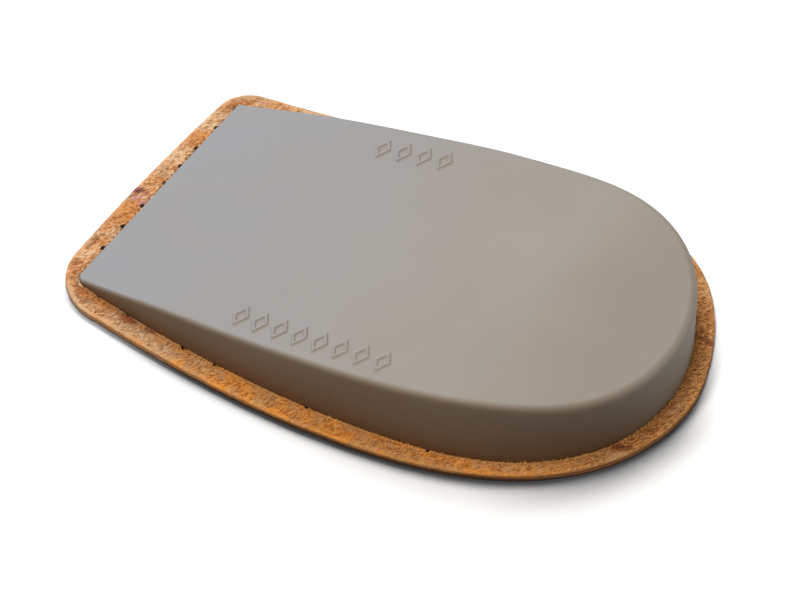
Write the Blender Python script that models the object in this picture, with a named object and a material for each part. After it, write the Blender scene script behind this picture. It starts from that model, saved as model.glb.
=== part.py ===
# Heel lift: a moulded rubber wedge on a larger leather cover, lying leather side down.
#
# The straight front edge faces -X, the round heel +X, the far side +Y and the near side -Y.
# The leather's underside lies on z = 0, and the origin is the middle of its outline's box.

import math

import bmesh
import bpy
import numpy as np

MM = 0.001

# Leather cover
LEATHER_LENGTH = 88.4 * MM
LEATHER_WIDTH = 60.9 * MM
LEATHER_FRONT_WIDTH = 50.2 * MM
LEATHER_WIDEST = 43.3 * MM          # how far behind its front edge it is widest
LEATHER_THICK = 1.0 * MM
FAR_CORNER_RADIUS = 5.2 * MM
NEAR_CORNER_RADIUS = 9.4 * MM
FRONT_BOW = 0.75 * MM               # how far the front edge bows out in its middle
BOW_REACH = 12.0 * MM               # how far behind the front edge the bow fades out
FRONT_SLANT = 0.4 * MM              # how far the far front corner lies behind the middle
SLANT_REACH = 20.0 * MM
LEATHER_HEEL_LEAN = -0.5 * MM       # the tip of the heel off the axis, towards +Y

# Both pieces lean to the far side ahead of this place, by this much at their front edges
LEAN_START = 39.4 * MM              # behind the leather's front edge
LEATHER_FRONT_LEAN = 1.6 * MM
WEDGE_FRONT_LEAN = 2.55 * MM

# Rubber wedge, set inside the leather's outline
FRONT_MARGIN = 2.75 * MM
HEEL_MARGIN = 2.9 * MM
SIDE_MARGIN = 4.6 * MM              # the two side margins' mean where the pieces are widest
FRONT_SIDE_MARGIN = 3.05 * MM       # the same at the front corners
WEDGE_OFFSET = -1.35 * MM           # the wedge is glued on towards the near side
WEDGE_WIDEST = 44.3 * MM            # how far behind its own front edge it is widest
WEDGE_FAR_CORNER = 0.8 * MM         # radius
WEDGE_NEAR_CORNER = 1.7 * MM
WEDGE_HEEL_LEAN = 0.6 * MM
WEDGE_THICK = 9.8 * MM              # at its thickest place
WEDGE_FRONT_THICK = 0.4 * MM        # at the front edge
EDGE_RADIUS_FRONT = 0.5 * MM        # rounding of the wedge's upper edge
EDGE_RADIUS_HEEL = 1.35 * MM
EDGE_SHARE = 0.8                    # the most of the wedge's height that its edge's rounding takes
SEAT_GAP = 0.3 * MM                 # between the wedge and the leather

# The outlines' curves: the sides' taper is 1 when straight and 2 when bowed,
# fullness keeps the heel wide for longer, and roundness shapes its tip
SIDE_TAPER = 1.4
LEATHER_HEEL_SHAPE = {"far": (4.7, 1.43), "near": (2.65, 2.12)}
WEDGE_HEEL_SHAPE = {"far": (3.8, 1.82), "near": (2.9, 2.2)}

# The wedge's side view: share of its length, share of the rise from front to thickest
WEDGE_RISE_SHARES = (
    (0.0, 0.0),
    (0.2, 0.44),
    (0.4, 0.71),
    (0.6, 0.90),
    (0.8, 1.0),
    (1.0, 0.83),
)

# Punched holes: a row along the wedge's foot, on the front and on the near side
HOLE_DIAMETER = 1.0 * MM
HOLE_PITCH = 5.1 * MM
FRONT_ROW_SHIFT = 0.8 * MM          # the front row's middle off the front edge's middle, towards +Y
SIDE_ROW_START = 6.2 * MM           # from the wedge's near front corner, along its foot
# Share of each hole that shows past the wedge's foot, far to near and then front to heel
FRONT_ROW_SHOWS = (0.9, 0.6, 0.8, 0.8, 0.9, 0.9, 0.8)
SIDE_ROW_SHOWS = (0.5, 0.6, 0.0, 1.0, 1.0, 0.0, 0.0, 0.5, 0.0, 0.0, 0.5, 0.3)

# Raised lozenges on the wedge's top, a row along each side
MARK_LENGTH = 4.4 * MM              # across the wedge
MARK_WIDTH = 2.4 * MM               # along the wedge
MARK_RIDGE = 0.45 * MM              # width of the raised line
MARK_RELIEF = 0.2 * MM
MARK_SINK = 0.5 * MM                # how deep a mark's body reaches into the wedge
MARK_PITCH = 3.2 * MM
NEAR_MARK_INSET = 4.3 * MM          # from the wedge's foot to the middle of a mark
FAR_MARK_INSET = 5.4 * MM
NEAR_MARKS = 8
FAR_MARKS = 4
NEAR_MARKS_AT = 38.8 * MM           # the middle of the row, behind the wedge's front edge
FAR_MARKS_AT = 32.0 * MM

FRONT_STEPS = 8
CORNER_STEPS = 6
SIDE_STEPS = 26
HEEL_STEPS = 24
EDGE_STEPS = 4
HOLE_SIDES = 12

# Linear colour, roughness
RUBBER_LOOK = ((0.37, 0.35, 0.33, 1.0), 0.6)
LEATHER_LOOK = ((0.46, 0.20, 0.07, 1.0), 0.85)


def plan(length, front_x, width, front_width, widest, heel, corners, bow, slant, leans, offset):
    """The sizes of one outline, with x counted from where the lean starts."""
    return {
        "front": front_x,
        "heel": front_x + length,
        "widest": front_x + widest,
        "half": width / 2,
        "front_half": front_width / 2,
        "round": heel,
        "corners": corners,
        "bow": bow,
        "slant": slant,
        "front_lean": leans[0],
        "heel_lean": leans[1],
        "offset": offset,
    }


LEATHER_PLAN = plan(
    LEATHER_LENGTH,
    -LEAN_START,
    LEATHER_WIDTH,
    LEATHER_FRONT_WIDTH,
    LEATHER_WIDEST,
    LEATHER_HEEL_SHAPE,
    {"far": FAR_CORNER_RADIUS, "near": NEAR_CORNER_RADIUS},
    FRONT_BOW,
    FRONT_SLANT,
    (LEATHER_FRONT_LEAN, LEATHER_HEEL_LEAN),
    0.0,
)
WEDGE_PLAN = plan(
    LEATHER_LENGTH - FRONT_MARGIN - HEEL_MARGIN,
    FRONT_MARGIN - LEAN_START,
    LEATHER_WIDTH - 2 * SIDE_MARGIN,
    LEATHER_FRONT_WIDTH - 2 * FRONT_SIDE_MARGIN,
    WEDGE_WIDEST,
    WEDGE_HEEL_SHAPE,
    {"far": WEDGE_FAR_CORNER, "near": WEDGE_NEAR_CORNER},
    0.0,
    0.0,
    (WEDGE_FRONT_LEAN, WEDGE_HEEL_LEAN),
    WEDGE_OFFSET,
)


def half_width(x, outline, side):
    """Half width at x: a tapering side up to the widest place, then the heel's round."""
    fullness, roundness = outline["round"][side]
    ahead = np.clip((outline["widest"] - x) / (outline["widest"] - outline["front"]), 0, 1)
    behind = np.clip((x - outline["widest"]) / (outline["heel"] - outline["widest"]), 0, 1)
    flare = outline["half"] - outline["front_half"]
    straight = outline["half"] - flare * ahead ** SIDE_TAPER
    rounded = outline["half"] * (1 - behind ** fullness) ** (1 / roundness)
    return np.where(x < outline["widest"], straight, rounded)


def side_line(outline, side, front_steps):
    """One side from the front edge to just short of the heel's tip, x and y, with y positive."""
    radius = outline["corners"][side]
    front = outline["front"]
    shoulder = float(half_width(front + radius, outline, side))
    turn = np.linspace(0, math.pi / 2, CORNER_STEPS)
    corner_x = front + radius * (1 - np.cos(turn))
    corner_y = shoulder - radius * (1 - np.sin(turn))
    edge_y = np.linspace(0, shoulder - radius, front_steps, endpoint=False)
    edge_x = np.full(front_steps, front)
    along = np.linspace(front + radius, outline["widest"], SIDE_STEPS, endpoint=False)[1:]
    sweep = np.linspace(0, math.pi / 2, HEEL_STEPS, endpoint=False)
    around = outline["widest"] + (outline["heel"] - outline["widest"]) * np.sin(sweep)
    behind_corner = np.concatenate([along, around])
    x = np.concatenate([edge_x, corner_x, behind_corner])
    y = np.concatenate([edge_y, corner_y, half_width(behind_corner, outline, side)])
    return np.stack([x, y], axis=1)


def lean(points, outline):
    """Bow and slant the front edge, and lean the front and the heel sideways."""
    x = points[:, 0]
    y = points[:, 1]
    across = y / outline["front_half"]
    bow_fade = np.clip(1 - (x - outline["front"]) / BOW_REACH, 0, 1)
    slant_fade = np.clip(1 - (x - outline["front"]) / SLANT_REACH, 0, 1)
    bowed = x - outline["bow"] * (1 - across ** 2) * bow_fade + outline["slant"] * across * slant_fade
    ahead = np.clip(x / outline["front"], 0, None)
    behind = np.clip(x / outline["heel"], 0, None)
    sideways = outline["front_lean"] * ahead ** 2 + outline["heel_lean"] * behind ** 2
    return np.stack([bowed, y + sideways + outline["offset"]], axis=1)


def ring(outline, front_steps):
    """A closed outline: the far side to the heel, the tip, and the near side back to the front."""
    far = side_line(outline, "far", front_steps)
    near = side_line(outline, "near", front_steps) * (1, -1)
    tip = np.array([[outline["heel"], 0.0]])
    first = 1 if front_steps else 0    # the middle of the front edge is in the far side only
    return lean(np.concatenate([far, tip, near[first:][::-1]]), outline)


def outward(points):
    """Unit normals of a closed ring that runs clockwise seen from above."""
    step = np.roll(points, -1, axis=0) - np.roll(points, 1, axis=0)
    normal = np.stack([-step[:, 1], step[:, 0]], axis=1)
    return normal / np.linalg.norm(normal, axis=1)[:, None]


def box_middle(points):
    """The middle of a ring's box, which becomes the origin."""
    return (points.min(axis=0) + points.max(axis=0)) / 2


def length_share(x):
    """Share of the wedge's length at x."""
    length = WEDGE_PLAN["heel"] - WEDGE_PLAN["front"]
    return np.clip((x - WEDGE_PLAN["front"]) / length, 0, 1)


def wedge_height(x):
    """Thickness of the wedge at x: a smooth curve through the rows of WEDGE_RISE_SHARES."""
    at, rise = np.array(WEDGE_RISE_SHARES).T
    slope = np.gradient(rise, at)
    share = length_share(x)
    row = np.clip(np.searchsorted(at, share, side="right") - 1, 0, len(at) - 2)
    width = at[row + 1] - at[row]
    t = (share - at[row]) / width
    start = (1 + 2 * t) * (1 - t) ** 2 * rise[row] + t * (1 - t) ** 2 * width * slope[row]
    end = t ** 2 * (3 - 2 * t) * rise[row + 1] + t ** 2 * (t - 1) * width * slope[row + 1]
    return WEDGE_FRONT_THICK + (WEDGE_THICK - WEDGE_FRONT_THICK) * (start + end)


def new_object(name, mesh_builder, look=None):
    """An object whose mesh is filled by mesh_builder, with its normals pointing out."""
    mesh = bpy.data.meshes.new(name)
    work = bmesh.new()
    mesh_builder(work)
    bmesh.ops.recalc_face_normals(work, faces=work.faces)
    work.to_mesh(mesh)
    work.free()
    made = bpy.data.objects.new(name, mesh)
    bpy.context.scene.collection.objects.link(made)
    if look:
        made.data.materials.append(material(name, *look))
    return made


def material(name, color, roughness):
    made = bpy.data.materials.new(name)
    made.use_nodes = True
    shader = made.node_tree.nodes["Principled BSDF"]
    shader.inputs["Base Color"].default_value = color
    shader.inputs["Roughness"].default_value = roughness
    shader.inputs["Metallic"].default_value = 0.0
    return made


def boolean(target, tool, operation):
    """Join or cut target with tool, which stays in the scene as a guide only."""
    tool.hide_render = True
    tool.display_type = "WIRE"
    modifier = target.modifiers.new(tool.name, "BOOLEAN")
    modifier.operation = operation
    modifier.solver = "EXACT"
    modifier.object = tool


def add_ring(work, points, heights):
    return [work.verts.new((x, y, z)) for (x, y), z in zip(points, heights)]


def join_rings(work, lower, upper):
    for i in range(len(lower)):
        j = (i + 1) % len(lower)
        work.faces.new((lower[i], lower[j], upper[j], upper[i]))


def close_across(work, loop):
    """Close a ring with strips from its far side to its near side, the last one a triangle."""
    count = len(loop)
    for i in range((count - 1) // 2):
        corners = [loop[i], loop[i + 1], loop[count - 2 - i], loop[count - 1 - i]]
        unique = list(dict.fromkeys(corners))
        work.faces.new(unique)


def leather_mesh(work, middle):
    points = ring(LEATHER_PLAN, FRONT_STEPS) - middle
    under = add_ring(work, points, np.zeros(len(points)))
    upper = add_ring(work, points, np.full(len(points), LEATHER_THICK))
    join_rings(work, under, upper)
    work.faces.new(under)
    work.faces.new(upper)


def wedge_mesh(work, middle):
    """The foot, the wall, and the rounded edge up to the domed top."""
    foot = ring(WEDGE_PLAN, 0)
    normal = outward(foot)
    height = wedge_height(foot[:, 0])
    share = length_share(foot[:, 0])
    radius = EDGE_RADIUS_FRONT + (EDGE_RADIUS_HEEL - EDGE_RADIUS_FRONT) * share
    radius = np.minimum(radius, EDGE_SHARE * height)
    seat = LEATHER_THICK + SEAT_GAP
    loops = [add_ring(work, foot - middle, np.full(len(foot), seat))]
    for turn in np.linspace(0, math.pi / 2, EDGE_STEPS + 1):
        inset = radius * (1 - math.cos(turn))
        level = seat + height - radius * (1 - math.sin(turn))
        loops.append(add_ring(work, foot - normal * inset[:, None] - middle, level))
    for lower, upper in zip(loops, loops[1:]):
        join_rings(work, lower, upper)
    close_across(work, loops[0])
    close_across(work, loops[-1])


def walk(points, distances, shifts):
    """Places at the given distances along an open line, each moved out from it by its shift."""
    step = np.diff(points, axis=0)
    gone = np.concatenate([[0], np.cumsum(np.linalg.norm(step, axis=1))])
    places = np.stack([np.interp(distances, gone, points[:, k]) for k in (0, 1)], axis=1)
    beyond = np.stack([np.interp(distances + HOLE_DIAMETER, gone, points[:, k]) for k in (0, 1)], axis=1)
    direction = beyond - places
    direction /= np.linalg.norm(direction, axis=1)[:, None]
    out = np.stack([-direction[:, 1], direction[:, 0]], axis=1)
    return places + out * np.array(shifts)[:, None]


def hole_places():
    """The middle of each hole, beside the wedge's foot."""
    foot = ring(WEDGE_PLAN, 0)
    front_past = (np.array(FRONT_ROW_SHOWS) - 0.5) * HOLE_DIAMETER
    side_past = (np.array(SIDE_ROW_SHOWS) - 0.5) * HOLE_DIAMETER
    front_edge = np.array([foot[-1], foot[0]])
    edge_length = np.linalg.norm(front_edge[1] - front_edge[0])
    order = np.arange(len(FRONT_ROW_SHOWS)) - (len(FRONT_ROW_SHOWS) - 1) / 2
    front_at = edge_length / 2 + FRONT_ROW_SHIFT - order * HOLE_PITCH
    side_at = SIDE_ROW_START + np.arange(len(SIDE_ROW_SHOWS)) * HOLE_PITCH
    near_line = foot[len(foot) // 2 :][::-1]
    rows = [walk(front_edge, front_at, front_past), walk(near_line, side_at, -side_past)]
    return np.concatenate(rows)


def hole_mesh(work, middle):
    """A drill for every hole, longer than the leather is thick."""
    turn = np.arange(HOLE_SIDES) * 2 * math.pi / HOLE_SIDES
    circle = np.stack([np.cos(turn), np.sin(turn)], axis=1) * HOLE_DIAMETER / 2
    for place in hole_places() - middle:
        under = add_ring(work, circle + place, np.full(HOLE_SIDES, -LEATHER_THICK))
        upper = add_ring(work, circle + place, np.full(HOLE_SIDES, 2 * LEATHER_THICK))
        join_rings(work, under, upper)
        work.faces.new(under)
        work.faces.new(upper)


def mark_mesh(work, middle):
    """Lozenge rings that stand up from the wedge's top by MARK_RELIEF."""
    rows = (
        ("near", -1, NEAR_MARKS, NEAR_MARKS_AT, NEAR_MARK_INSET),
        ("far", 1, FAR_MARKS, FAR_MARKS_AT, FAR_MARK_INSET),
    )
    corner = np.array([(1, 0), (0, 1), (-1, 0), (0, -1)])
    outer = corner * (MARK_WIDTH / 2, MARK_LENGTH / 2)
    inner = outer * (1 - 2 * MARK_RIDGE / MARK_WIDTH)
    for side, sign, count, row_at, inset in rows:
        order = np.arange(count) - (count - 1) / 2
        x = WEDGE_PLAN["front"] + row_at + order * MARK_PITCH
        y = sign * (half_width(x, WEDGE_PLAN, side) - inset)
        for place in lean(np.stack([x, y], axis=1), WEDGE_PLAN):
            add_mark(work, [outer + place, inner + place], middle)


def add_mark(work, borders, middle):
    loops = []
    for border in borders:
        top = LEATHER_THICK + SEAT_GAP + wedge_height(border[:, 0])
        under = add_ring(work, border - middle, top - MARK_SINK)
        upper = add_ring(work, border - middle, top + MARK_RELIEF)
        join_rings(work, under, upper)
        loops.append((under, upper))
    join_rings(work, loops[0][0], loops[1][0])
    join_rings(work, loops[0][1], loops[1][1])


def shade(made):
    made.data.shade_smooth()
    made.data.set_sharp_from_angle(angle=math.radians(40))


def main():
    for old in list(bpy.data.objects):
        bpy.data.objects.remove(old)
    middle = box_middle(ring(LEATHER_PLAN, FRONT_STEPS))

    leather = new_object("leather_cover", lambda work: leather_mesh(work, middle), LEATHER_LOOK)
    holes = new_object("hole_drills", lambda work: hole_mesh(work, middle))
    boolean(leather, holes, "DIFFERENCE")
    shade(leather)

    wedge = new_object("rubber_wedge", lambda work: wedge_mesh(work, middle), RUBBER_LOOK)
    marks = new_object("mark_bodies", lambda work: mark_mesh(work, middle))
    boolean(wedge, marks, "UNION")
    shade(wedge)


main()
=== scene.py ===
import math

import bpy
import numpy as np
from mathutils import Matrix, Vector


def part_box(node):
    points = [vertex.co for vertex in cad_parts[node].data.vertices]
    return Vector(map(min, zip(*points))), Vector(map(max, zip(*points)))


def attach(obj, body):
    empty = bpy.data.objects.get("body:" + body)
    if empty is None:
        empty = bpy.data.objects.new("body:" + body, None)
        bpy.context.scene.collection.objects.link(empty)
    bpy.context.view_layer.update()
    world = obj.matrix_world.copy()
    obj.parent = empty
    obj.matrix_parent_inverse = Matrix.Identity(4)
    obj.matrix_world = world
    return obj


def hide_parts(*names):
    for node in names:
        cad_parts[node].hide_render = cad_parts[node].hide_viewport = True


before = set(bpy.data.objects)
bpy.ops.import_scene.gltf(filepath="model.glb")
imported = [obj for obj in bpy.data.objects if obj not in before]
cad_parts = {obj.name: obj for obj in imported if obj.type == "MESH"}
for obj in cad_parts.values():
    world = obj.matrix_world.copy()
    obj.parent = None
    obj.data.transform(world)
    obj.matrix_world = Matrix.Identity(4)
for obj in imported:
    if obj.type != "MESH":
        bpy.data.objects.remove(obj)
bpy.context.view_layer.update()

# A heel lift lying on its leather. Lengths are in millimetres up to the last step of each mesh.
mm = 0.001
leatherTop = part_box("leather_cover")[1].z / mm
print("frame loaded, leather", round(leatherTop, 2), "mm thick")

# How finely the outlines and the wedge's top are sampled: share across or along, steps up to it
sampling = {
    "across": [(0.0, 0), (0.66, 14), (0.95, 56), (1.0, 5)],
    "along": [(0.0, 0), (0.57, 50), (1.0, 150)],
    "corner": 18,
    "heel": [(0.0, 0), (0.13, 50), (1.0, 96)],
}

# Outlines of both pieces, with x counted from the place where they begin to lean
leatherCut = {
    "front": -39.4,
    "length": 88.4,
    "width": 60.9,
    "frontWidth": 50.2,
    "widest": 43.3,             # how far behind the front edge
    "heel": {"far": (4.7, 1.43), "near": (2.65, 2.12)},    # fullness and roundness
    "corner": {"far": 5.2, "near": 9.4},                   # radius
    "bow": 0.75,                # how far the front edge's middle stands out
    "slant": 0.4,               # how far its far end lies behind its middle
    "frontLean": 1.6,           # how far the front and the heel lie off the axis
    "heelLean": -0.5,
    "offset": 0.0,
}
wedgeCut = {
    "front": -36.65,
    "length": 82.75,
    "width": 51.7,
    "frontWidth": 44.1,
    "widest": 44.3,
    "heel": {"far": (3.8, 1.82), "near": (2.9, 2.2)},
    "corner": {"far": 0.8, "near": 1.7},
    "bow": 0.0,
    "slant": 0.0,
    "frontLean": 2.55,
    "heelLean": 0.6,
    "offset": -1.35,
}
# The power of both tapers to the front, and how far behind the front edge bow and slant fade out
sides = {"taper": 1.4, "bowReach": 12.0, "slantReach": 20.0}


def runOf(rows):
    # A run of shares from the first row's to the last's, evenly spaced between one row and the next
    runs = [np.linspace(a, b, n, endpoint=False) for (a, _), (b, n) in zip(rows, rows[1:])]
    return np.concatenate(runs + [[rows[-1][0]]])


def halfWidth(x, cut, side):
    # Half width at x: half less flare times (distance ahead of the widest place) ^ taper,
    # and behind it half times (1 - share ^ fullness) ^ (1 / roundness)
    fullness, roundness = cut["heel"][side]
    widest = cut["front"] + cut["widest"]
    heel = cut["front"] + cut["length"]
    ahead = np.clip((widest - x) / cut["widest"], 0, 1)
    behind = np.clip((x - widest) / (heel - widest), 0, 1)
    flare = (cut["width"] - cut["frontWidth"]) / 2
    tapered = cut["width"] / 2 - flare * ahead ** sides["taper"]
    rounded = cut["width"] / 2 * (1 - behind ** fullness) ** (1 / roundness)
    return np.where(x < widest, tapered, rounded)


def sideLine(cut, side):
    # One side with y positive: the front edge, an arc round the corner, the side, and the heel
    # up to its tip, where x follows a sine so that the points spread evenly
    radius = cut["corner"][side]
    widest = cut["front"] + cut["widest"]
    heel = cut["front"] + cut["length"]
    shoulder = halfWidth(np.array(cut["front"] + radius), cut, side)
    edge = runOf(sampling["across"])[:-1] * (shoulder - radius)
    turn = np.linspace(0, math.pi / 2, sampling["corner"])
    start = cut["front"] + radius
    along = start + (widest - start) * runOf(sampling["along"])[1:-1]
    around = widest + (heel - widest) * np.sin(runOf(sampling["heel"]) * math.pi / 2)
    x = np.concatenate([0 * edge + cut["front"], start - radius * np.cos(turn), along, around])
    arc = shoulder - radius * (1 - np.sin(turn))
    y = np.concatenate([edge, arc, halfWidth(along, cut, side), halfWidth(around, cut, side)])
    return np.stack([x, y], axis=1)


def leaned(points, cut):
    # The front edge bows out by bow * (1 - across^2), and front and heel lean sideways with x^2
    x, y = points.T
    across = 2 * y / cut["frontWidth"]
    bowFade = np.clip(1 - (x - cut["front"]) / sides["bowReach"], 0, 1)
    slantFade = np.clip(1 - (x - cut["front"]) / sides["slantReach"], 0, 1)
    bowed = x - cut["bow"] * (1 - across ** 2) * bowFade + cut["slant"] * across * slantFade
    ahead = np.clip(x / cut["front"], 0, None) ** 2
    behind = np.clip(x / (cut["front"] + cut["length"]), 0, None) ** 2
    sideways = cut["frontLean"] * ahead + cut["heelLean"] * behind + cut["offset"]
    return np.stack([bowed, y + sideways], axis=1)


def outlineOf(cut):
    # Closed ring: middle of the front edge, far side, tip of the heel, near side back again
    far = sideLine(cut, "far")
    near = sideLine(cut, "near") * (1, -1)
    return leaned(np.concatenate([far, near[1:-1][::-1]]), cut)


def outwardOf(ring):
    # Unit vectors that point out of a ring, from each point's two neighbours
    step = np.roll(ring, -1, axis=0) - np.roll(ring, 1, axis=0)
    out = np.stack([-step[:, 1], step[:, 0]], axis=1)
    return out / np.linalg.norm(out, axis=1)[:, None]


def hills(x, y, cell, seed):
    # Smooth random hills from 0 to 1: random heights on a square grid that repeats after 64 cells,
    # blended between the four nearest by 3t^2 - 2t^3
    cells = 64
    heights = np.random.default_rng(seed).random((cells, cells))
    u, v = x / cell, y / cell
    i, j = np.floor(u).astype(int), np.floor(v).astype(int)
    s, t = smoothStep(u - i, 0, 1), smoothStep(v - j, 0, 1)
    left, right = i % cells, (i + 1) % cells
    near, far = j % cells, (j + 1) % cells
    low = heights[left, near] * (1 - s) + heights[right, near] * s
    high = heights[left, far] * (1 - s) + heights[right, far] * s
    return low * (1 - t) + high * t


def smoothStep(value, low, high):
    # 0 at low and 1 at high, by 3t^2 - 2t^3 between them
    t = np.clip((value - low) / (high - low), 0, 1)
    return t * t * (3 - 2 * t)


def newPiece(name, points, faces, material):
    # Points in millimetres become a smooth mesh in metres
    mesh = bpy.data.meshes.new(name)
    mesh.from_pydata((np.asarray(points) * mm).tolist(), [], faces)
    mesh.update()
    mesh.shade_smooth()
    mesh.materials.append(material)
    piece = bpy.data.objects.new(name, mesh)
    bpy.context.scene.collection.objects.link(piece)
    return piece


def bandFaces(rows, columns):
    # Quads between neighbouring rows of a closed band, row by row
    row, column = np.meshgrid(np.arange(rows - 1), np.arange(columns), indexing="ij")
    here = row * columns + column
    beside = row * columns + (column + 1) % columns
    quads = np.stack([here, beside, beside + columns, here + columns], axis=-1)
    return quads.reshape(-1, 4).tolist()


def capFaces(first, count, up):
    # Long strips between opposite points of a ring, the first with the whole front edge
    start = frontSteps + 1
    tip = count // 2
    frontEdge = (np.arange(-frontSteps, start) % count).tolist()
    faces = [frontEdge + [start, count - start]]
    faces += [[i, i + 1, count - i - 1, count - i] for i in range(start, tip - 1)]
    faces += [[tip - 1, tip, tip + 1]]
    return [[first + i for i in face][:: -1 if up else 1] for face in faces]


def addAttribute(piece, name, values):
    made = piece.data.attributes.new(name, "FLOAT", "POINT")
    made.data.foreach_set("value", np.asarray(values, np.float32))


def pointsOf(piece):
    # A mesh's points as an array, in millimetres
    points = np.zeros(len(piece.data.vertices) * 3, np.float32)
    piece.data.vertices.foreach_get("co", points)
    return points.reshape(-1, 3).astype(float) / mm


class Value:
    # A shader socket. Python's operators on it add Math nodes, and node() adds any other node.
    def __init__(self, tree, socket=None):
        self.tree = tree
        self.socket = socket

    def node(self, kind, settings=None, sockets=None, out=0):
        made = self.tree.nodes.new("ShaderNode" + kind)
        for name, setting in (settings or {}).items():
            setattr(made, name, setting)
        for name, given in (sockets or {}).items():
            target = next(s for s in made.inputs if name in (s.identifier, s.name))
            if isinstance(given, Value):
                self.tree.links.new(given.socket, target)
            else:
                target.default_value = given
        return Value(self.tree, made.outputs[out])

    def maths(self, operation, a, b=0.0, clamp=False):
        settings = {"operation": operation, "use_clamp": clamp}
        return self.node("Math", settings, {"Value": a, "Value_001": b})

    def __add__(self, other):
        return self.maths("ADD", self, other)

    def __radd__(self, other):
        return self.maths("ADD", other, self)

    def __sub__(self, other):
        return self.maths("SUBTRACT", self, other)

    def __rsub__(self, other):
        return self.maths("SUBTRACT", other, self)

    def __mul__(self, other):
        return self.maths("MULTIPLY", self, other)

    def __rmul__(self, other):
        return self.maths("MULTIPLY", other, self)

    def __truediv__(self, other):
        return self.maths("DIVIDE", self, other)

    def held(self):
        # Never below 0 or above 1
        return self.maths("ADD", self, 0.0, clamp=True)

    def between(self, low, high):
        # 0 at low and 1 at high, smoothly
        sockets = {"Value": self, "From Min": low, "From Max": high}
        return self.node("MapRange", {"interpolation_type": "SMOOTHSTEP"}, sockets)

    def mixed(self, a, b):
        # Colour a where this value is 0 and colour b where it is 1
        def coloured(c):
            return c if isinstance(c, Value) else (*c, 1.0)
        sockets = {"Factor_Float": self, "A_Color": coloured(a), "B_Color": coloured(b)}
        return self.node("Mix", {"data_type": "RGBA"}, sockets, out=2)

    def noise(self, place, scale, detail=3.0, rough=0.5, stretch=(1, 1, 1), turn=0.0, warp=0.0):
        # Noise with its cells turned and stretched on the piece, scale in cells for each metre
        sockets = {"Vector": place, "Rotation": (0, 0, turn), "Scale": stretch}
        turned = self.node("Mapping", {"vector_type": "TEXTURE"}, sockets)
        sockets = {"Vector": turned, "Scale": scale, "Detail": detail, "Roughness": rough}
        sockets["Distortion"] = warp
        return self.node("TexNoise", {"noise_dimensions": "3D"}, sockets)

    def read(self, name):
        # A number kept on the piece's points
        return self.node("Attribute", {"attribute_name": name}, out=2)

    def flattened(self, place):
        # The place as seen from above, with its height taken out
        sockets = {"Vector": place, "Vector_001": (1, 1, 0)}
        return self.node("VectorMath", {"operation": "MULTIPLY"}, sockets)

    def distance(self, place, point):
        # Metres from a place to a point given in millimetres
        sockets = {"Vector": place, "Vector_001": [c * mm for c in point]}
        return self.node("VectorMath", {"operation": "DISTANCE"}, sockets, out=1)

    def ellipse(self, place, middle, size, turn):
        # 0 in the middle of an ellipse and 1 on its outline, with its sizes in millimetres
        sockets = {
            "Vector": place,
            "Location": (middle[0] * mm, middle[1] * mm, 0),
            "Rotation": (0, 0, math.radians(turn)),
            "Scale": (size[0] / 2 * mm, size[1] / 2 * mm, 1),
        }
        turned = self.node("Mapping", {"vector_type": "TEXTURE"}, sockets)
        return self.node("VectorMath", {"operation": "LENGTH"}, {"Vector": turned}, out=1)


def newMaterial(name):
    # A material's Principled BSDF, a Value to build with, and its Object coordinates
    material = bpy.data.materials.new(name)
    material.use_nodes = True
    shader = material.node_tree.nodes["Principled BSDF"]
    maker = Value(material.node_tree)
    return material, shader, maker, maker.node("TexCoord", out=3)


def plug(shader, maker, sockets):
    # Links values into the shader and sets plain numbers straight on it
    for name, given in sockets.items():
        if isinstance(given, Value):
            maker.tree.links.new(given.socket, shader.inputs[name])
        else:
            shader.inputs[name].default_value = given


def bumped(maker, height, distance, strength):
    # A normal tilted by a height, which is scaled to a distance in metres
    return maker.node("Bump", None, {"Height": height, "Distance": distance, "Strength": strength})


# Rubber: brownish grey, smooth and matt, with painted warm shade on the wall facing the near side
rubberLook = {
    "body": (0.215, 0.19, 0.168),
    "worn": (0.235, 0.208, 0.183),
    "heel": (0.24, 0.206, 0.162),
    # Painted warm shade on the wall that faces the near side
    "side": (0.150, 0.103, 0.065),
    # Painted shade, darker still, low on that wall
    "low": (0.126, 0.070, 0.033),
    # Painted highlight along the upper edge of that wall, also the colour of the grain's pale flecks
    "rim": (0.25, 0.20, 0.15),
    "speck": (0.05, 0.035, 0.025),
    "roughness": 0.5,
}
# Dark grains in the rubber: x, y, z, radius
grains = [
    (28.2, -23.4, 7.8, 0.16),
    (-17.2, 13.2, 8.0, 0.13),
    (-18.4, 12.3, 7.9, 0.09),
    (38.9, -10.8, 10.2, 0.08),
    (40.4, 3.0, 9.6, 0.12),
    (-4.0, -14.0, 9.3, 0.06),
    (12.0, 9.5, 10.4, 0.06),
]


def rubberMaterial():
    look = rubberLook
    material, shader, maker, place = newMaterial("rubber")
    clouds = maker.noise(place, 70, detail=4, rough=0.55)
    grain = maker.noise(place, 2600, detail=3, rough=0.6)
    colour = clouds.between(0.35, 0.7).mixed(look["body"], look["worn"])
    colour = maker.read("heel").mixed(colour, look["heel"])
    # Painted shade on the near-facing wall, darker low down, and a painted highlight on its upper edge
    colour = maker.read("side").mixed(colour, look["side"])
    colour = maker.read("low").mixed(colour, look["low"])
    colour = (maker.read("rim") * (0.2 + 0.4 * clouds)).held().mixed(colour, look["rim"])
    colour = (grain.between(0.52, 0.8) * 0.12).mixed(colour, look["rim"])
    for x, y, z, radius in grains:
        away = maker.distance(place, (x, y, z))
        colour = away.between(1.4 * radius * mm, 0.5 * radius * mm).mixed(colour, look["speck"])
    waves = maker.noise(place, 160, detail=2)
    plug(shader, maker, {
        "Base Color": colour,
        "Roughness": look["roughness"] + 0.1 * clouds.between(0.3, 0.75) + 0.05 * grain,
        "Specular IOR Level": 0.5,
        "Normal": bumped(maker, grain * 0.25 + waves, 0.00003, 0.6),
    })
    return material


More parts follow.
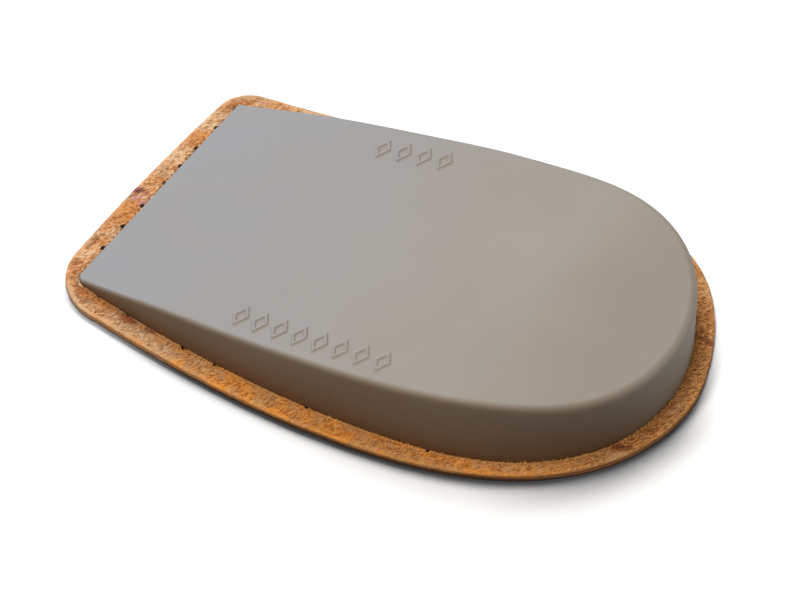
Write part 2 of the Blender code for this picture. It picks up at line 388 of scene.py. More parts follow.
# Leather: flesh side up, nap brushed about in short strokes
leatherLook = {
    "buff": (0.52, 0.29, 0.15),
    "orange": (0.58, 0.21, 0.035),
    # Orange of the sides, brightened as painted light against the wedge's shadow on the margin
    "litAmber": (0.98, 0.34, 0.03),
    "rust": (0.26, 0.07, 0.012),
    # Brown at the heel: the leather's browner tone there, with painted shade
    "brown": (0.26, 0.09, 0.025),
    "pale": (0.74, 0.53, 0.33),
    "straw": (1.0, 0.52, 0.12),
    "edge": (0.34, 0.15, 0.05),
    "cut": (0.11, 0.048, 0.02),
    # Painted shade in and round the punched holes
    "hole": (0.03, 0.016, 0.01),
    "tan": (0.44, 0.17, 0.06),
    "cream": (0.66, 0.38, 0.17),
    "stain": (0.32, 0.06, 0.010),
    "burn": (0.17, 0.035, 0.012),
    "glue": (0.85, 0.80, 0.75),
    "maroon": (0.16, 0.03, 0.04),
    "pink": (0.62, 0.30, 0.30),
    "grainSide": (0.42, 0.21, 0.09),
}
# Directions in degrees: of the nap, of the fine fibres in it and of the strokes across it
napTurn = 62
fibreTurn = 50
crossTurn = 15
# Marks on the leather: look, x, y, length, width, turn in degrees, strength
leatherMarks = [
    ("orange", -42.4, 14.2, 4.6, 3.2, 80, 0.85),
    ("orange", -41.9, 3.4, 2.0, 1.6, 0, 0.7),
    ("orange", -42.9, -5.1, 6.2, 3.4, 90, 0.8),
    ("orange", -43.5, -9.1, 2.0, 1.2, 90, 0.6),
    ("orange", -42.2, -11.6, 2.0, 1.1, 90, 0.6),
    ("orange", -37.6, -22.4, 5.5, 1.5, -10, 0.8),
    ("orange", -34.6, -22.9, 4.0, 1.2, -12, 0.8),
    ("orange", -41.0, 24.0, 4.5, 1.6, 50, 0.7),
    ("tan", -43.4, -12.5, 1.8, 1.0, 60, 0.8),
    ("tan", -43.4, -17.7, 2.6, 1.2, 70, 0.8),
    ("tan", -42.4, -19.9, 3.0, 1.2, 80, 0.8),
    ("tan", -42.1, 21.8, 2.6, 1.4, 70, 0.7),
    ("tan", 42.0, 2.3, 4.0, 1.0, -35, 0.7),
    ("tan", 38.6, 16.0, 3.5, 1.6, -40, 0.5),
    ("pale", -43.1, 18.0, 4.6, 3.0, 80, 0.6),
    ("pale", -43.1, 9.2, 4.2, 2.8, 90, 0.55),
    ("pale", -43.1, -15.3, 2.6, 1.4, 60, 0.7),
    ("pale", -38.6, -25.2, 7.0, 1.8, -18, 0.5),
    ("pale", -26.0, -25.8, 12.0, 1.3, -12, 0.45),
    ("pale", -17.0, -26.8, 6.0, 1.2, -8, 0.4),
    ("cream", 40.4, -15.2, 3.4, 1.5, 40, 0.9),
    ("cream", 43.0, -3.2, 3.6, 0.9, 70, 0.6),
    ("cream", 36.2, 20.4, 5.0, 1.4, -45, 0.6),
    ("stain", -30.6, -23.8, 2.9, 1.7, -8, 0.95),
    ("stain", -26.5, -24.3, 2.4, 0.7, -10, 0.8),
    ("burn", -41.3, 12.0, 1.3, 1.1, 90, 0.7),
    ("burn", -41.2, 8.7, 0.5, 0.4, 0, 0.9),
    ("burn", -19.1, -24.3, 0.7, 0.6, 0, 0.8),
    ("burn", 41.0, 10.8, 4.6, 1.1, -8, 0.95),
    ("burn", 42.6, 12.4, 2.6, 1.0, -40, 0.8),
    ("burn", 39.9, -13.4, 3.2, 1.0, 20, 0.95),
    ("burn", 42.2, -8.6, 0.9, 0.7, 0, 0.7),
    ("maroon", -43.9, 0.1, 1.8, 1.3, 40, 1.0),
    ("maroon", -43.9, -1.3, 1.6, 0.6, 60, 0.8),
    ("stain", -42.5, -0.1, 1.1, 1.0, 0, 0.6),
    ("pink", -43.1, -1.4, 1.9, 0.7, 60, 0.9),
    ("pink", -42.0, -2.0, 1.6, 0.7, 60, 0.8),
    ("glue", -40.3, -21.0, 0.5, 0.45, 0, 0.9),
]
# Punched holes, x, y and radius: along the front edge from the far end, and along the near side
frontHoles = [
    (-41.3, 17.5, 0.42), (-41.4, 12.0, 0.40), (-41.4, 7.5, 0.36), (-41.3, 3.2, 0.38),
    (-41.5, -2.6, 0.36), (-41.5, -7.7, 0.42), (-41.5, -13.0, 0.38),
]
nearHoles = [
    (-36.6, -21.7, 0.30), (-30.9, -22.9, 0.36), (-20.8, -24.8, 0.45), (-15.2, -25.6, 0.45),
    (-0.4, -26.9, 0.30), (14.5, -26.4, 0.20), (17.8, -26.4, 0.16),
]


def leatherTones(maker, place):
    # The noises that the leather and its nap share, as a dictionary
    brushed = {"stretch": (3.5, 1, 1), "turn": math.radians(napTurn)}
    across = {"stretch": (1.8, 1, 1), "turn": math.radians(crossTurn)}
    return {
        "patches": maker.noise(place, 330, detail=3, rough=0.55, warp=0.5),
        "mottle": maker.noise(place, 1500, detail=4, rough=0.7, warp=0.6),
        "strokes": maker.noise(place, 4200, detail=2, rough=0.6, **brushed),
        "crossed": maker.noise(place, 3600, detail=3, rough=0.7, **across),
        "tone": maker.read("tone"),
    }


def leatherColour(maker, tones):
    # Buff at the front, orange at the sides brightened as painted light, brown with painted shade at
    # the heel
    look = leatherLook
    tone, mottle = tones["tone"], tones["mottle"]
    warm = (tones["patches"].between(0.40, 0.60) * 0.7 + tone - 0.35 + (mottle - 0.5) * 1.6).held()
    # The sides' orange is brightened, as painted light against the wedge's shadow
    colour = warm.mixed(look["buff"], tone.mixed(look["orange"], look["litAmber"]))
    # Painted shade, browner, round the heel
    colour = (maker.read("shade") * (0.6 + 0.8 * mottle)).held().mixed(colour, look["brown"])
    colour = (mottle.between(0.52, 0.66) * (0.05 + 0.5 * tone)).mixed(colour, look["rust"])
    return (tones["crossed"].between(0.54, 0.62) * (0.10 + 0.42 * tone)).mixed(colour, look["rust"])


def withMarks(maker, flat, colour, tones):
    # Each mark has a ragged outline, and the strokes under it show through
    ragged = (tones["mottle"] - 0.5) * 1.1 + (tones["strokes"] - 0.5) * 0.7
    cover = 0.45 + 0.55 * tones["strokes"].between(0.40, 0.58)
    for name, x, y, length, width, turn, strength in leatherMarks:
        reach = maker.ellipse(flat, (x, y), (length, width), turn)
        blob = (reach + ragged).between(1.5, 0.6)
        colour = (blob * cover * strength).mixed(colour, leatherLook[name])
    return colour


def leatherMaterial():
    look = leatherLook
    material, shader, maker, place = newMaterial("leather")
    flat = maker.flattened(place)
    tones = leatherTones(maker, place)
    mottle, strokes = tones["mottle"], tones["strokes"]
    combed = {"stretch": (3, 1, 1), "turn": math.radians(fibreTurn)}
    fibres = maker.noise(place, 8000, detail=2, rough=0.7, **combed)
    light = tones["tone"].mixed(look["pale"], look["straw"])
    colour = leatherColour(maker, tones)
    colour = (strokes.between(0.52, 0.60) * (0.6 - 0.15 * tones["tone"])).mixed(colour, light)
    colour = (fibres.between(0.52, 0.62) * 0.5).mixed(colour, light)
    colour = withMarks(maker, flat, colour, tones)
    colour = (maker.read("bright") * (0.4 + mottle)).held().mixed(colour, look["straw"])

    # Painted shade in and just round each punched hole, with a ragged outline
    ragged = (mottle - 0.5) * 1.8 + (strokes - 0.5) * 1.2
    for x, y, radius in frontHoles + nearHoles:
        away = maker.distance(flat, (x, y, 0)) / mm + ragged * 0.14
        colour = away.between(radius + 0.16, radius + 0.03).mixed(colour, look["hole"])
    under = maker.read("under")
    colour = under.mixed(colour, look["grainSide"])
    colour = (maker.read("edge") * (0.5 + 0.7 * mottle)).held().mixed(colour, look["edge"])
    colour = (maker.read("cut") * (0.8 + 0.4 * strokes)).held().mixed(colour, look["cut"])

    pores = maker.node("TexVoronoi", {"feature": "DISTANCE_TO_EDGE"}, {"Vector": place, "Scale": 1400})
    raised = strokes * 1.2 + tones["crossed"] * 0.9 + fibres * 0.5 + mottle
    height = raised * (1 - under) * (0.45 + 0.75 * tones["tone"])
    height = height + pores.between(0.0, 0.2) * under * 0.3
    plug(shader, maker, {
        "Base Color": colour,
        "Roughness": 0.92 - 0.35 * under,
        "Specular IOR Level": 0.2,
        "Sheen Weight": 0.1,
        "Sheen Roughness": 0.5,
        "Normal": bumped(maker, height, 0.00016, 0.9),
    })
    return material


def napMaterial():
    # Each strand takes the leather's colour under it, darker or lighter by its own pick
    look = leatherLook
    material, shader, maker, place = newMaterial("nap")
    flat = maker.flattened(place)
    tones = leatherTones(maker, place)
    pick = maker.read("pick")
    # The leather's colour here, its painted light and painted shade included
    colour = leatherColour(maker, tones)
    colour = (pick.between(0.4, 0.0) * (0.15 + 0.6 * tones["tone"])).mixed(colour, look["rust"])
    light = tones["tone"].mixed(look["pale"], look["straw"])
    colour = (pick.between(0.35, 0.8) * 0.85).mixed(colour, light)
    colour = withMarks(maker, flat, colour, tones)
    plug(shader, maker, {
        "Base Color": colour,
        "Roughness": 0.8 + 0.15 * pick,
        "Specular IOR Level": 0.2,
    })
    return material


# Both outlines in the part's own frame, and the steps from the front edge's middle to its end
leatherRing = outlineOf(leatherCut)
middle = (leatherRing.min(axis=0) + leatherRing.max(axis=0)) / 2
leatherRing = leatherRing - middle
leatherOut = outwardOf(leatherRing)
wedgeRing = outlineOf(wedgeCut) - middle
wedgeOut = outwardOf(wedgeRing)
acrossRun = runOf(sampling["across"])
frontSteps = len(acrossRun) - 1

# Rubber wedge
wedge = {
    "seat": 1.07,               # its underside, just above the leather
    "foot": 1.3,                # where its wall starts, above a small rounding
    "gap": 0.3,                 # its thickness counts from this far above the leather
    "thick": 9.8,
    "frontThick": 0.4,
    "frontEdge": 0.5,           # rounding of the upper edge, at the front and at the heel
    "heelEdge": 1.35,
    "edgeShare": 0.8,           # the most of its height that the rounding takes
    "rise": [(0.0, 0.0), (0.2, 0.44), (0.4, 0.71), (0.6, 0.90), (0.8, 1.0), (1.0, 0.83)],
    "footRows": 5,
    "wallRows": 9,
    "edgeRows": 10,
    "dish": 0.12,               # how far the top's middle lies below its edges
    "dishStart": 40,            # rows from the front over which the dish deepens
    "dishStop": 16,             # and how far from the heel it begins to end
}
# Raised lozenges on the top, a row on each side: the row's middle behind the front edge, its
# inset from the foot, how many
lozenge = {"length": 4.4, "width": 2.4, "line": 0.45, "relief": 0.2, "pitch": 3.2, "soft": 0.09}
lozengeRows = {"near": (38.8, 4.3, 8), "far": (32.0, 5.4, 4)}


def shareAlong(x):
    # 0 at the wedge's front edge and 1 at its heel
    return np.clip((x + middle[0] - wedgeCut["front"]) / wedgeCut["length"], 0, 1)


def wedgeHeight(x):
    # Thickness at x: cubic curves through the rows of rise, with the slope of their neighbours
    at, rise = np.array(wedge["rise"]).T
    slope = np.gradient(rise, at)
    share = shareAlong(x)
    row = np.clip(np.searchsorted(at, share, side="right") - 1, 0, len(at) - 2)
    width = at[row + 1] - at[row]
    t = (share - at[row]) / width
    start = (1 + 2 * t) * (1 - t) ** 2 * rise[row] + t * (1 - t) ** 2 * width * slope[row]
    end = t ** 2 * (3 - 2 * t) * rise[row + 1] + t ** 2 * (t - 1) * width * slope[row + 1]
    return wedge["frontThick"] + (wedge["thick"] - wedge["frontThick"]) * (start + end)


def lozengePlaces():
    places = []
    for side, sign in (("near", -1), ("far", 1)):
        rowAt, inset, count = lozengeRows[side]
        x = wedgeCut["front"] + rowAt + (np.arange(count) - (count - 1) / 2) * lozenge["pitch"]
        y = sign * (halfWidth(x, wedgeCut, side) - inset)
        places.append(leaned(np.stack([x, y], axis=1), wedgeCut) - middle)
    return np.concatenate(places)


def reliefAt(x, y):
    # A lozenge's outline is |x| / a + |y| / b = 1, so the same sum gives the distance to its line,
    # and the relief falls off smoothly on both sides of that line
    a, b = lozenge["width"] / 2, lozenge["length"] / 2
    slim = a * b / math.hypot(a, b)
    height = np.zeros(x.shape)
    for px, py in lozengePlaces():
        off = (np.abs(x - px) / a + np.abs(y - py) / b - 1) * slim
        line = np.abs(off + lozenge["line"] / 2) - lozenge["line"] / 2
        height = np.maximum(height, 1 - smoothStep(line, -lozenge["soft"], lozenge["soft"]))
    return lozenge["relief"] * height


def wedgeRows():
    # The wall as rows round the ring: a small rounding at the foot, the upright wall, and the
    # rounded upper edge, whose radius grows from front to heel
    height = wedgeHeight(wedgeRing[:, 0])
    grown = (wedge["heelEdge"] - wedge["frontEdge"]) * shareAlong(wedgeRing[:, 0])
    radius = wedge["frontEdge"] + grown
    radius = np.minimum(radius, wedge["edgeShare"] * height)
    tuck = wedge["foot"] - wedge["seat"]
    top = leatherTop + wedge["gap"] + height
    insets, levels = [], []
    for turn in np.linspace(0, math.pi / 2, wedge["footRows"]):
        insets.append(0 * height + tuck * (1 - math.sin(turn)))
        levels.append(0 * height + wedge["foot"] - tuck * math.cos(turn))
    for up in np.linspace(0, 1, wedge["wallRows"])[1:-1]:
        insets.append(0 * height)
        levels.append(wedge["foot"] + (top - radius - wedge["foot"]) * up)
    for turn in np.linspace(0, math.pi / 2, wedge["edgeRows"]):
        insets.append(radius * (1 - math.cos(turn)))
        levels.append(top - radius * (1 - math.sin(turn)))
    rows = [np.column_stack([wedgeRing - wedgeOut * i[:, None], z]) for i, z in zip(insets, levels)]
    return np.concatenate(rows), len(rows)


def wedgeTop(rim):
    # The top is a grid of lines from each far point of its rim to the near point opposite, with
    # height(x) less the dish, which is (1 - across^2) deep, plus the lozenges
    tip = len(rim) // 2
    far = rim[frontSteps:tip]
    near = np.roll(rim, -1, axis=0)[::-1][frontSteps:tip]
    across = np.concatenate([-acrossRun[:0:-1], acrossRun])[1:-1]
    t = (1 + across[None, :, None]) / 2
    inner = far[1:, None] * (1 - t) + near[1:, None] * t
    x, y = inner[..., 0], inner[..., 1]
    ends = 1 - across[None, :] ** 2
    start = smoothStep(np.arange(len(x)), 0, wedge["dishStart"])[:, None]
    stop = smoothStep(x.max() - x, 0, wedge["dishStop"])
    inner[..., 2] += reliefAt(x, y) - wedge["dish"] * ends * start * stop
    return inner


def wedgeFaces(rows, count, lines):
    # The wall's bands, the grid of the top with the rim's own points round it, and the underside
    tip = count // 2
    rim = (rows - 1) * count
    faces = [quad[::-1] for quad in bandFaces(rows, count)]
    cells = lines.shape[1]
    first = rows * count
    farRim = rim + np.arange(frontSteps, tip)
    nearRim = rim + (count - np.arange(frontSteps, tip))
    inner = first + np.arange(lines.shape[0] * cells).reshape(lines.shape[0], cells)
    # From the far corner across the front edge to the near corner
    frontRow = rim + (np.arange(frontSteps, -frontSteps - 1, -1) % count)
    grid = np.column_stack([farRim[1:], inner, nearRim[1:]])
    grid = np.vstack([frontRow, grid])
    quads = np.stack([grid[:-1, :-1], grid[:-1, 1:], grid[1:, 1:], grid[1:, :-1]], axis=-1)
    faces += quads.reshape(-1, 4).tolist()
    last = grid[-1]
    faces += [[int(a), int(b), rim + tip] for a, b in zip(last[:-1], last[1:])]
    return faces + capFaces(0, count, up=False)


def makeWedge(material):
    rows, rowCount = wedgeRows()
    count = len(wedgeRing)
    rim = rows[-count:]
    lines = wedgeTop(rim)
    points = np.concatenate([rows, lines.reshape(-1, 3)])
    piece = newPiece("wedge", points, wedgeFaces(rowCount, count, lines), material)
    wedgeTints(piece, rowCount, count)
    return piece


def wedgeTints(piece, rowCount, count):
    # On the wall: how far it faces the near side, how low it is, and a band round its upper edge
    # Side and low are painted shade on that wall, and rim is a painted highlight along its upper edge
    x, _, z = pointsOf(piece).T
    edge = wedge["edgeRows"]
    walls = rowCount * count
    down = np.concatenate([np.ones(rowCount - edge), np.linspace(1, 0, edge)])
    facing = smoothStep(-wedgeOut[:, 1], -0.1, 0.75)
    side, low, rim = np.zeros(len(x)), np.zeros(len(x)), np.zeros(len(x))
    side[:walls] = (smoothStep(down, 0.1, 0.75)[:, None] * facing).ravel()
    high = (z[:walls] - leatherTop) / (wedgeHeight(x[:walls]) + wedge["gap"])
    low[:walls] = side[:walls] * (1 - smoothStep(high, 0.0, 0.9)) * 0.85
    band = smoothStep(down, 0.0, 0.4) * (1 - smoothStep(down, 0.5, 0.95))
    rim[:walls] = (band[:, None] * facing).ravel()
    addAttribute(piece, "side", side)
    addAttribute(piece, "low", low)
    addAttribute(piece, "rim", rim)
    addAttribute(piece, "heel", smoothStep(x, -32, 28))


# Leather cover
leather = {
    "rows": 26,                 # from the cut edge in to under the wedge
    "under": 1.6,               # how far the fine rows reach in under the wedge's foot
    "nap": 0.05,                # how high the rough top rises and falls
    "cutRough": 0.07,           # and how far the cut edge goes in and out
    "underInset": 0.16,         # rows on the underside, from here in and then plain
    "underRows": 8,
    "underReach": 3.0,
}
# The cut edge from its top to its underside: inset, height as a share of the thickness
cutProfile = [
    (0.34, 1.0), (0.16, 0.98), (0.06, 0.92), (0.01, 0.82), (0.0, 0.7), (0.02, 0.58),
    (0.03, 0.46), (0.01, 0.34), (0.0, 0.22), (0.03, 0.1), (0.12, 0.0),
]
holeLook = {"ragged": 0.2, "sides": 18, "levels": (-1.0, 3.0)}


def leatherRows():
    # Rows round the ring: in under the wedge, out over the margin, down the cut edge and in again.
    # The margin is a straight blend from the leather's ring to the matching point of the wedge's
    inner = wedgeRing - wedgeOut * leather["under"]
    out = leatherOut
    ripple = hills(leatherRing[:, 0] + 50, leatherRing[:, 1] + 50, 0.7, 3) - 0.5
    rows = []
    edgeTop = leatherRing - out * cutProfile[0][0]
    for share in np.linspace(0, 1, leather["rows"], endpoint=False):
        flat = inner + (edgeTop - inner) * share
        rows.append(np.column_stack([flat, 0 * ripple + leatherTop]))
    for k, (inset, level) in enumerate(cutProfile):
        rough = hills(leatherRing[:, 0] + 80, leatherRing[:, 1] + 9 * k, 0.45, 5 + k) - 0.5
        steady = 0.3 if level in (0.0, 1.0) else 1.0
        shift = (ripple + rough) * leather["cutRough"] * steady - inset
        moved = leatherRing + out * shift[:, None]
        rows.append(np.column_stack([moved, 0 * shift + level * leatherTop]))
    for reach in np.linspace(0, leather["underReach"], leather["underRows"] + 1)[1:]:
        moved = leatherRing - out * (leather["underInset"] + reach)
        rows.append(np.column_stack([moved, 0 * ripple]))
    return rows


def napAt(x, y):
    # Hills of three sizes, the two finer ones stretched along the nap
    turn = math.radians(napTurn)
    u = x * math.cos(turn) + y * math.sin(turn) + 200
    v = y * math.cos(turn) - x * math.sin(turn) + 200
    coarse = hills(x + 100, y + 100, 1.3, 11) - 0.5
    fine = hills(u / 3, v, 0.35, 12) - 0.5
    tiny = hills(u / 2, v, 0.22, 13) - 0.5
    return coarse + fine + 0.6 * tiny


def drillMesh():
    # Closed ragged prisms, one for each hole, radius times 1 + ragged * random
    rng = np.random.default_rng(21)
    count = holeLook["sides"]
    low, high = holeLook["levels"]
    turn = np.arange(count) * 2 * math.pi / count
    points, faces = [], []
    for px, py, size in frontHoles + nearHoles:
        radius = size * (1 + holeLook["ragged"] * (rng.random(count) * 2 - 1))
        circle = np.column_stack([px + radius * np.cos(turn), py + radius * np.sin(turn)])
        first = len(points) * count
        points.append(np.column_stack([circle, 0 * turn + low]))
        points.append(np.column_stack([circle, 0 * turn + high]))
        faces += (np.array(bandFaces(2, count)) + first).tolist()
        base = first + np.arange(count)
        faces += [base[::-1].tolist(), (base + count).tolist()]
    return np.concatenate(points), faces


def cutThrough(piece, tool):
    # The tool's mesh is cut out of the piece, and the tool is removed
    cut = piece.modifiers.new("holes", "BOOLEAN")
    cut.operation = "DIFFERENCE"
    cut.solver = "EXACT"
    cut.object = tool
    shown = piece.evaluated_get(bpy.context.evaluated_depsgraph_get())
    done = bpy.data.meshes.new_from_object(shown)
    piece.modifiers.clear()
    piece.data = done
    bpy.data.objects.remove(tool)
    done.shade_smooth()


def batches(count, size=2000):
    # Slices that cover a long array, to spare memory
    return [slice(start, start + size) for start in range(0, count, size)]


def distanceTo(ring, x, y):
    # Shortest distance from each point to a ring's points
    found = np.empty(len(x))
    for part in batches(len(x)):
        gap = np.hypot(x[part, None] - ring[None, :, 0], y[part, None] - ring[None, :, 1])
        found[part] = gap.min(axis=1)
    return found


def makeLeather(material):
    rows = leatherRows()
    count = len(leatherRing)
    points = np.concatenate(rows)
    x, y, z = points.T
    # The roughness fades out down the cut edge
    onTop = smoothStep(z, 0.7 * leatherTop, leatherTop)
    points[:, 2] += onTop * leather["nap"] * napAt(x, y)
    faces = bandFaces(len(rows), count) + capFaces(0, count, up=True)
    faces += capFaces((len(rows) - 1) * count, count, up=False)
    piece = newPiece("leather", points, faces, material)
    drills = newPiece("drills", *drillMesh(), material)
    cutThrough(piece, drills)
    leatherTints(piece)
    return piece


def leatherTints(piece):
    # The cut edge is dark below a line that climbs from front to heel, with a pale line above it
    # on the near side. The top turns from buff at the front to orange, brightened as painted light,
    # and then to brown with painted shade at the heel
    x, y, z = pointsOf(piece).T
    edge = distanceTo(leatherRing, x, y)
    level = z / leatherTop
    onEdge = (edge < cutProfile[0][0] + 0.02) & (level < 0.995)
    near = smoothStep(-y, 5, 20)
    limit = 0.2 + 0.35 * smoothStep(x, -30, 0) * (1 - smoothStep(x, 24, 40))
    addAttribute(piece, "cut", onEdge * (1 - smoothStep(level, limit, limit + 0.12)))
    paleSide = near * (1 - smoothStep(x, -25, 5))
    belowTop = 1 - smoothStep(level, 0.9, 1.0)
    addAttribute(piece, "edge", onEdge * belowTop * (1 - 0.8 * paleSide))
    band = smoothStep(level, limit + 0.05, limit + 0.15)
    band = band * (1 - smoothStep(level, limit + 0.2, limit + 0.3))
    along = smoothStep(x, -20, -5) * (1 - smoothStep(x, 20, 34))
    addAttribute(piece, "bright", onEdge * near * band * along)
    addAttribute(piece, "under", (level < 0.02) & (edge > 0.1))
    addAttribute(piece, "tone", toneAt(x))
    addAttribute(piece, "shade", shadeAt(x, y))


def toneAt(x):
    # From buff at the front to orange at the sides, where the orange is brightened as painted light
    return 0.2 + 0.55 * smoothStep(x, -36, -8)


def shadeAt(x, y):
    # Painted shade with a browner tone at the heel, sooner on the far side
    return 0.8 * smoothStep(x + 0.15 * y, 25, 39)


# Nap: strands brushed flat over the margin, and others that stand against the wedge's foot
nap = {
    "flat": 5200,
    "standing": 2400,
    "length": (0.45, 1.1),
    "width": (0.06, 0.13),
    "spread": 35,               # degrees, how far strands turn off the nap's direction
    "fan": 0.9,                 # radians, how far the standing ones turn off the wall
    "share": (0.04, 0.9),       # across the margin, from the wedge to the leather's edge
    "off": (0.3, 0.6),          # the standing ones' distance from the wall
    "stray": 0.06,              # how far roots stray from their places
    "lean": 0.3,                # share of their length that the standing ones reach sideways
    "halfLift": (0.02, 0.09),   # the flat ones' height half way and at the tip
    "tipLift": (-0.01, 0.08),
    "rise": (0.25, 0.7),        # the standing ones' height there, as shares of their length
    "sink": 0.02,               # how deep the roots lie in the leather
    "holeGap": 0.5,             # how far strands stay off a hole's middle, the wall and the edge
    "wallGap": 0.07,
    "edgeGap": 0.4,
}


# One strand is a three-sided taper. Points 0 to 2 are the ring at its root, 3 to 5 the ring half
# way and 6 is its tip
strand = {
    "rings": [(0.0, 1.0), (0.5, 0.8)],                    # share of the length, share of the width
    "corners": [(-0.5, 0.0), (0.5, 0.0), (0.0, 0.7)],     # beside and above, as shares of the width
    "root": [(0, 1, 2)],
    "sides": [(1, 0, 3, 4), (2, 1, 4, 5), (0, 2, 5, 3)],
    "tip": [(4, 3, 6), (5, 4, 6), (3, 5, 6)],
    "points": 7,
}


def strandMesh(base, aim, length, width, lifts):
    # All strands as one mesh, with lifts as the heights of root, middle and tip
    across = np.column_stack([aim[:, 1], -aim[:, 0]])
    points = np.zeros((len(base), strand["points"], 3))
    for ring, (share, size) in enumerate(strand["rings"]):
        along = base + aim * (length * share)[:, None]
        for corner, (beside, above) in enumerate(strand["corners"]):
            k = ring * 3 + corner
            points[:, k, :2] = along + across * (width * size * beside)[:, None]
            points[:, k, 2] = lifts[ring] + width * size * above
    points[:, -1, :2] = base + aim * length[:, None]
    points[:, -1, 2] = lifts[2]
    first = np.arange(len(base))[:, None] * strand["points"]
    faces = []
    for face in strand["root"] + strand["sides"] + strand["tip"]:
        faces += (first + np.array(face)).tolist()
    return points.reshape(-1, 3), faces


def pastRing(ring, out, places):
    # Signed distance of each place past a ring, measured at the ring's nearest point
    found = np.empty(len(places))
    for part in batches(len(places)):
        away = places[part, None] - ring
        nearest = np.argmin((away ** 2).sum(axis=2), axis=1)
        row = np.arange(len(nearest))
        found[part] = (away[row, nearest] * out[nearest]).sum(axis=1)
    return found


def strandRoots(rng, flat):
    # Flat strands spread evenly over the margin, and standing ones along the wedge's foot
    steps = np.linalg.norm(np.roll(leatherRing, -1, axis=0) - leatherRing, axis=1)
    area = steps * np.linalg.norm(leatherRing - wedgeRing, axis=1)
    spread = np.concatenate([
        rng.choice(len(steps), nap["flat"], p=area / area.sum()),
        rng.choice(len(steps), nap["standing"], p=steps / steps.sum()),
    ])
    share = rng.uniform(*nap["share"], len(flat))[:, None]
    off = rng.uniform(*nap["off"], len(flat))[:, None]
    onMargin = wedgeRing[spread] + (leatherRing[spread] - wedgeRing[spread]) * share
    atFoot = wedgeRing[spread] + wedgeOut[spread] * off
    stray = rng.normal(0, nap["stray"], (len(flat), 2))
    return np.where(flat[:, None], onMargin, atFoot) + stray, wedgeOut[spread]


def strandAims(rng, flat, out):
    # Flat strands lie along the nap, either way round, and standing ones lean on the wedge
    along = np.radians(napTurn + nap["spread"] * rng.uniform(-1, 1, len(flat)))
    along += math.pi * (rng.random(len(flat)) < 0.5)
    inward = np.arctan2(-out[:, 1], -out[:, 0]) + nap["fan"] * rng.uniform(-1, 1, len(flat))
    aim = np.where(flat, along, inward)
    return np.column_stack([np.cos(aim), np.sin(aim)])


def clearOf(base, ends):
    # True for a strand that stays off the wedge, inside the leather's edge and clear of holes
    holes = np.array(frontHoles + nearHoles)[:, :2]
    clear = distanceTo(holes, *((base + ends) / 2).T) > nap["holeGap"]
    for places in (base, ends):
        clear &= pastRing(wedgeRing, wedgeOut, places) > nap["wallGap"]
        clear &= pastRing(leatherRing, leatherOut, places) < -nap["edgeGap"]
    return clear


def makeNap(material):
    rng = np.random.default_rng(31)
    flat = np.arange(nap["flat"] + nap["standing"]) < nap["flat"]
    base, out = strandRoots(rng, flat)
    aim = strandAims(rng, flat, out)
    length = rng.uniform(*nap["length"], len(flat))
    width = rng.uniform(*nap["width"], len(flat))
    # A standing strand reaches only as far as the wall, and rises instead
    reach = np.where(flat, length, nap["lean"] * length)
    halfRise, tipRise = nap["rise"]
    half = np.where(flat, rng.uniform(*nap["halfLift"], len(flat)), halfRise * length)
    tip = np.where(flat, rng.uniform(*nap["tipLift"], len(flat)), tipRise * length)
    clear = clearOf(base, base + aim * reach[:, None])
    lifts = [leatherTop + lift[clear] for lift in (0 * length - nap["sink"], half, tip)]
    points, faces = strandMesh(base[clear], aim[clear], reach[clear], width[clear], lifts)
    piece = newPiece("nap", points, faces, material)
    pick = rng.random(clear.sum())
    pick = np.where(flat[clear], pick, 0.5 + 0.5 * pick)    # the standing ones are pale
    addAttribute(piece, "pick", np.repeat(pick, strand["points"]))
    # The leather's tone, which brightens its orange as painted light, and its painted shade
    addAttribute(piece, "tone", toneAt(points[:, 0]))
    addAttribute(piece, "shade", shadeAt(*points[:, :2].T))
    return piece


# Floor, lights and camera
stage = {
    "floor": (0.93, 0.95, 0.97),
    "shade": (0.085, 0.09, 0.10),
    "halfSide": 3000,
    "drop": 0.02,               # how far the floor lies below the leather
    "reach": 7.5,               # of the shade close to the piece, and of the wider one by the heel
    "heelReach": 14.0,
    "samples": 24,
    "world": (1.0, 0.95, 0.90),
    "worldStrength": 0.17,
}
# Name, direction, distance, size, watts, colour
lamps = [
    ("key", (-0.35, 0.50, 1.0), 1.1, 0.7, 7.3, (1.0, 0.97, 0.93)),
    ("overhead", (-0.12, -0.30, 1.0), 1.1, 0.7, 7.0, (1.0, 0.97, 0.94)),
    ("backPanel", (-0.80, 0.62, 0.34), 1.1, 0.9, 8.0, (0.50, 0.72, 1.0)),
    ("rightPanel", (1.0, 0.65, 0.40), 1.1, 0.8, 2.5, (1.0, 0.97, 0.93)),
    ("nearPanel", (-0.1, -1.0, 0.10), 1.1, 0.7, 2.0, (1.0, 0.68, 0.40)),
]
shot = {
    "azimuth": 29.0,
    "elevation": 42.3,
    "distance": 486.0,
    "target": (-0.285, -1.256, 0.0),
    "lens": 157.5,
}


def openness(maker, reach):
    # 1 on open floor, and less where the piece stands closer than the reach
    settings = {"samples": stage["samples"]}
    return maker.node("AmbientOcclusion", settings, {"Distance": reach * mm}, out=1)


def floorShade(maker, place):
    # Dark close to the piece on its near side, more widely by the heel, and faintly at the front.
    # The darkest of the three shades counts
    x, y = (maker.node("SeparateXYZ", None, {"Vector": place}, out=k) / mm for k in (0, 1))
    close = openness(maker, stage["reach"])
    wide = openness(maker, stage["heelReach"])
    near = (x * 0.35 - y * 0.94).between(0, 22)
    byHeel = x.between(24, 44) * y.between(4, -10)
    byFront = x.between(0, -20) * 0.3
    dark = close.between(0.875, 0.75) * near
    dark = maker.maths("MAXIMUM", dark, wide.between(0.935, 0.66) * byHeel)
    return maker.maths("MAXIMUM", dark, close.between(1.0, 0.72) * near * byFront)


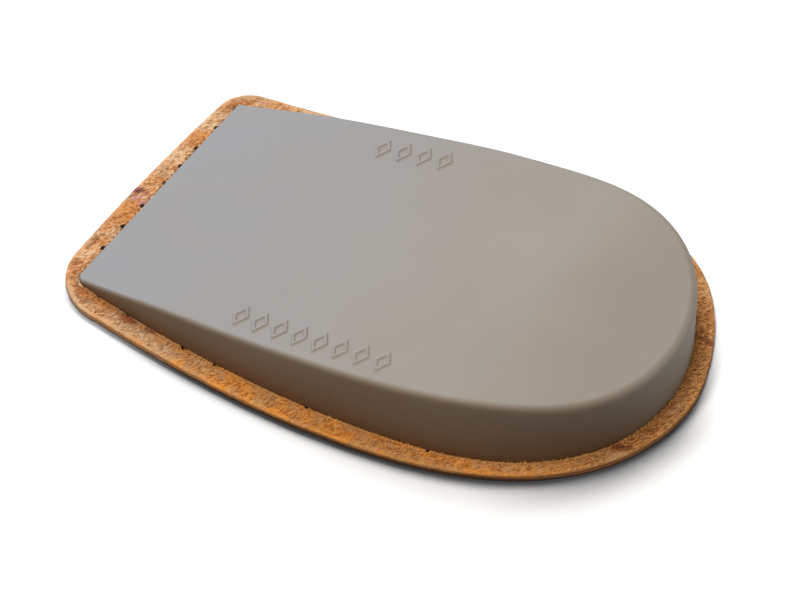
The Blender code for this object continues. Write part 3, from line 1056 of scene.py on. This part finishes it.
def makeFloor():
    material, shader, maker, place = newMaterial("floor")
    dark = floorShade(maker, place)
    plug(shader, maker, {
        "Base Color": dark.mixed(stage["floor"], stage["shade"]),
        "Roughness": 0.9,
        "Specular IOR Level": 0.1,
    })
    far, low = stage["halfSide"], -stage["drop"]
    corners = [(-far, -far, low), (far, -far, low), (far, far, low), (-far, far, low)]
    floor = newPiece("floor", corners, [[0, 1, 2, 3]], material)
    floor.visible_diffuse = False    # the pale floor doesn't brighten the walls that face it


def makeLamps():
    for name, direction, distance, size, watts, colour in lamps:
        light = bpy.data.lights.new(name, "AREA")
        light.shape = "DISK"
        light.size = size
        light.energy = watts
        light.color = colour
        lamp = bpy.data.objects.new(name, light)
        away = Vector(direction).normalized()
        lamp.location = away * distance
        lamp.rotation_euler = away.to_track_quat("Z", "Y").to_euler()
        bpy.context.scene.collection.objects.link(lamp)
    world = bpy.data.worlds.new("studio")
    world.use_nodes = True
    background = world.node_tree.nodes["Background"]
    background.inputs["Color"].default_value = (*stage["world"], 1.0)
    background.inputs["Strength"].default_value = stage["worldStrength"]
    bpy.context.scene.world = world


def makeCamera():
    a, e = math.radians(shot["azimuth"]), math.radians(shot["elevation"])
    back = Vector((math.sin(a) * math.cos(e), -math.cos(a) * math.cos(e), math.sin(e)))
    data = bpy.data.cameras.new("camera")
    data.lens = shot["lens"]
    data.sensor_width = 36.0
    data.clip_start = 0.01
    camera = bpy.data.objects.new("camera", data)
    camera.location = (Vector(shot["target"]) + back * shot["distance"]) * mm
    camera.rotation_euler = back.to_track_quat("Z", "Y").to_euler()
    bpy.context.scene.collection.objects.link(camera)
    bpy.context.scene.camera = camera
    bpy.context.scene.view_settings.view_transform = "Standard"


makeCamera()
makeLamps()
makeFloor()
print("camera, lamps and floor placed")

wedgePiece = makeWedge(rubberMaterial())
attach(wedgePiece, "root")
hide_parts("rubber_wedge")
print("wedge made,", len(wedgePiece.data.polygons), "faces")

leatherPiece = makeLeather(leatherMaterial())
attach(leatherPiece, "root")
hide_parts("leather_cover")
print("leather made,", len(leatherPiece.data.polygons), "faces")

napPiece = makeNap(napMaterial())
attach(napPiece, "root")
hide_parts("leather_cover")
print("nap made,", len(napPiece.data.polygons), "faces")
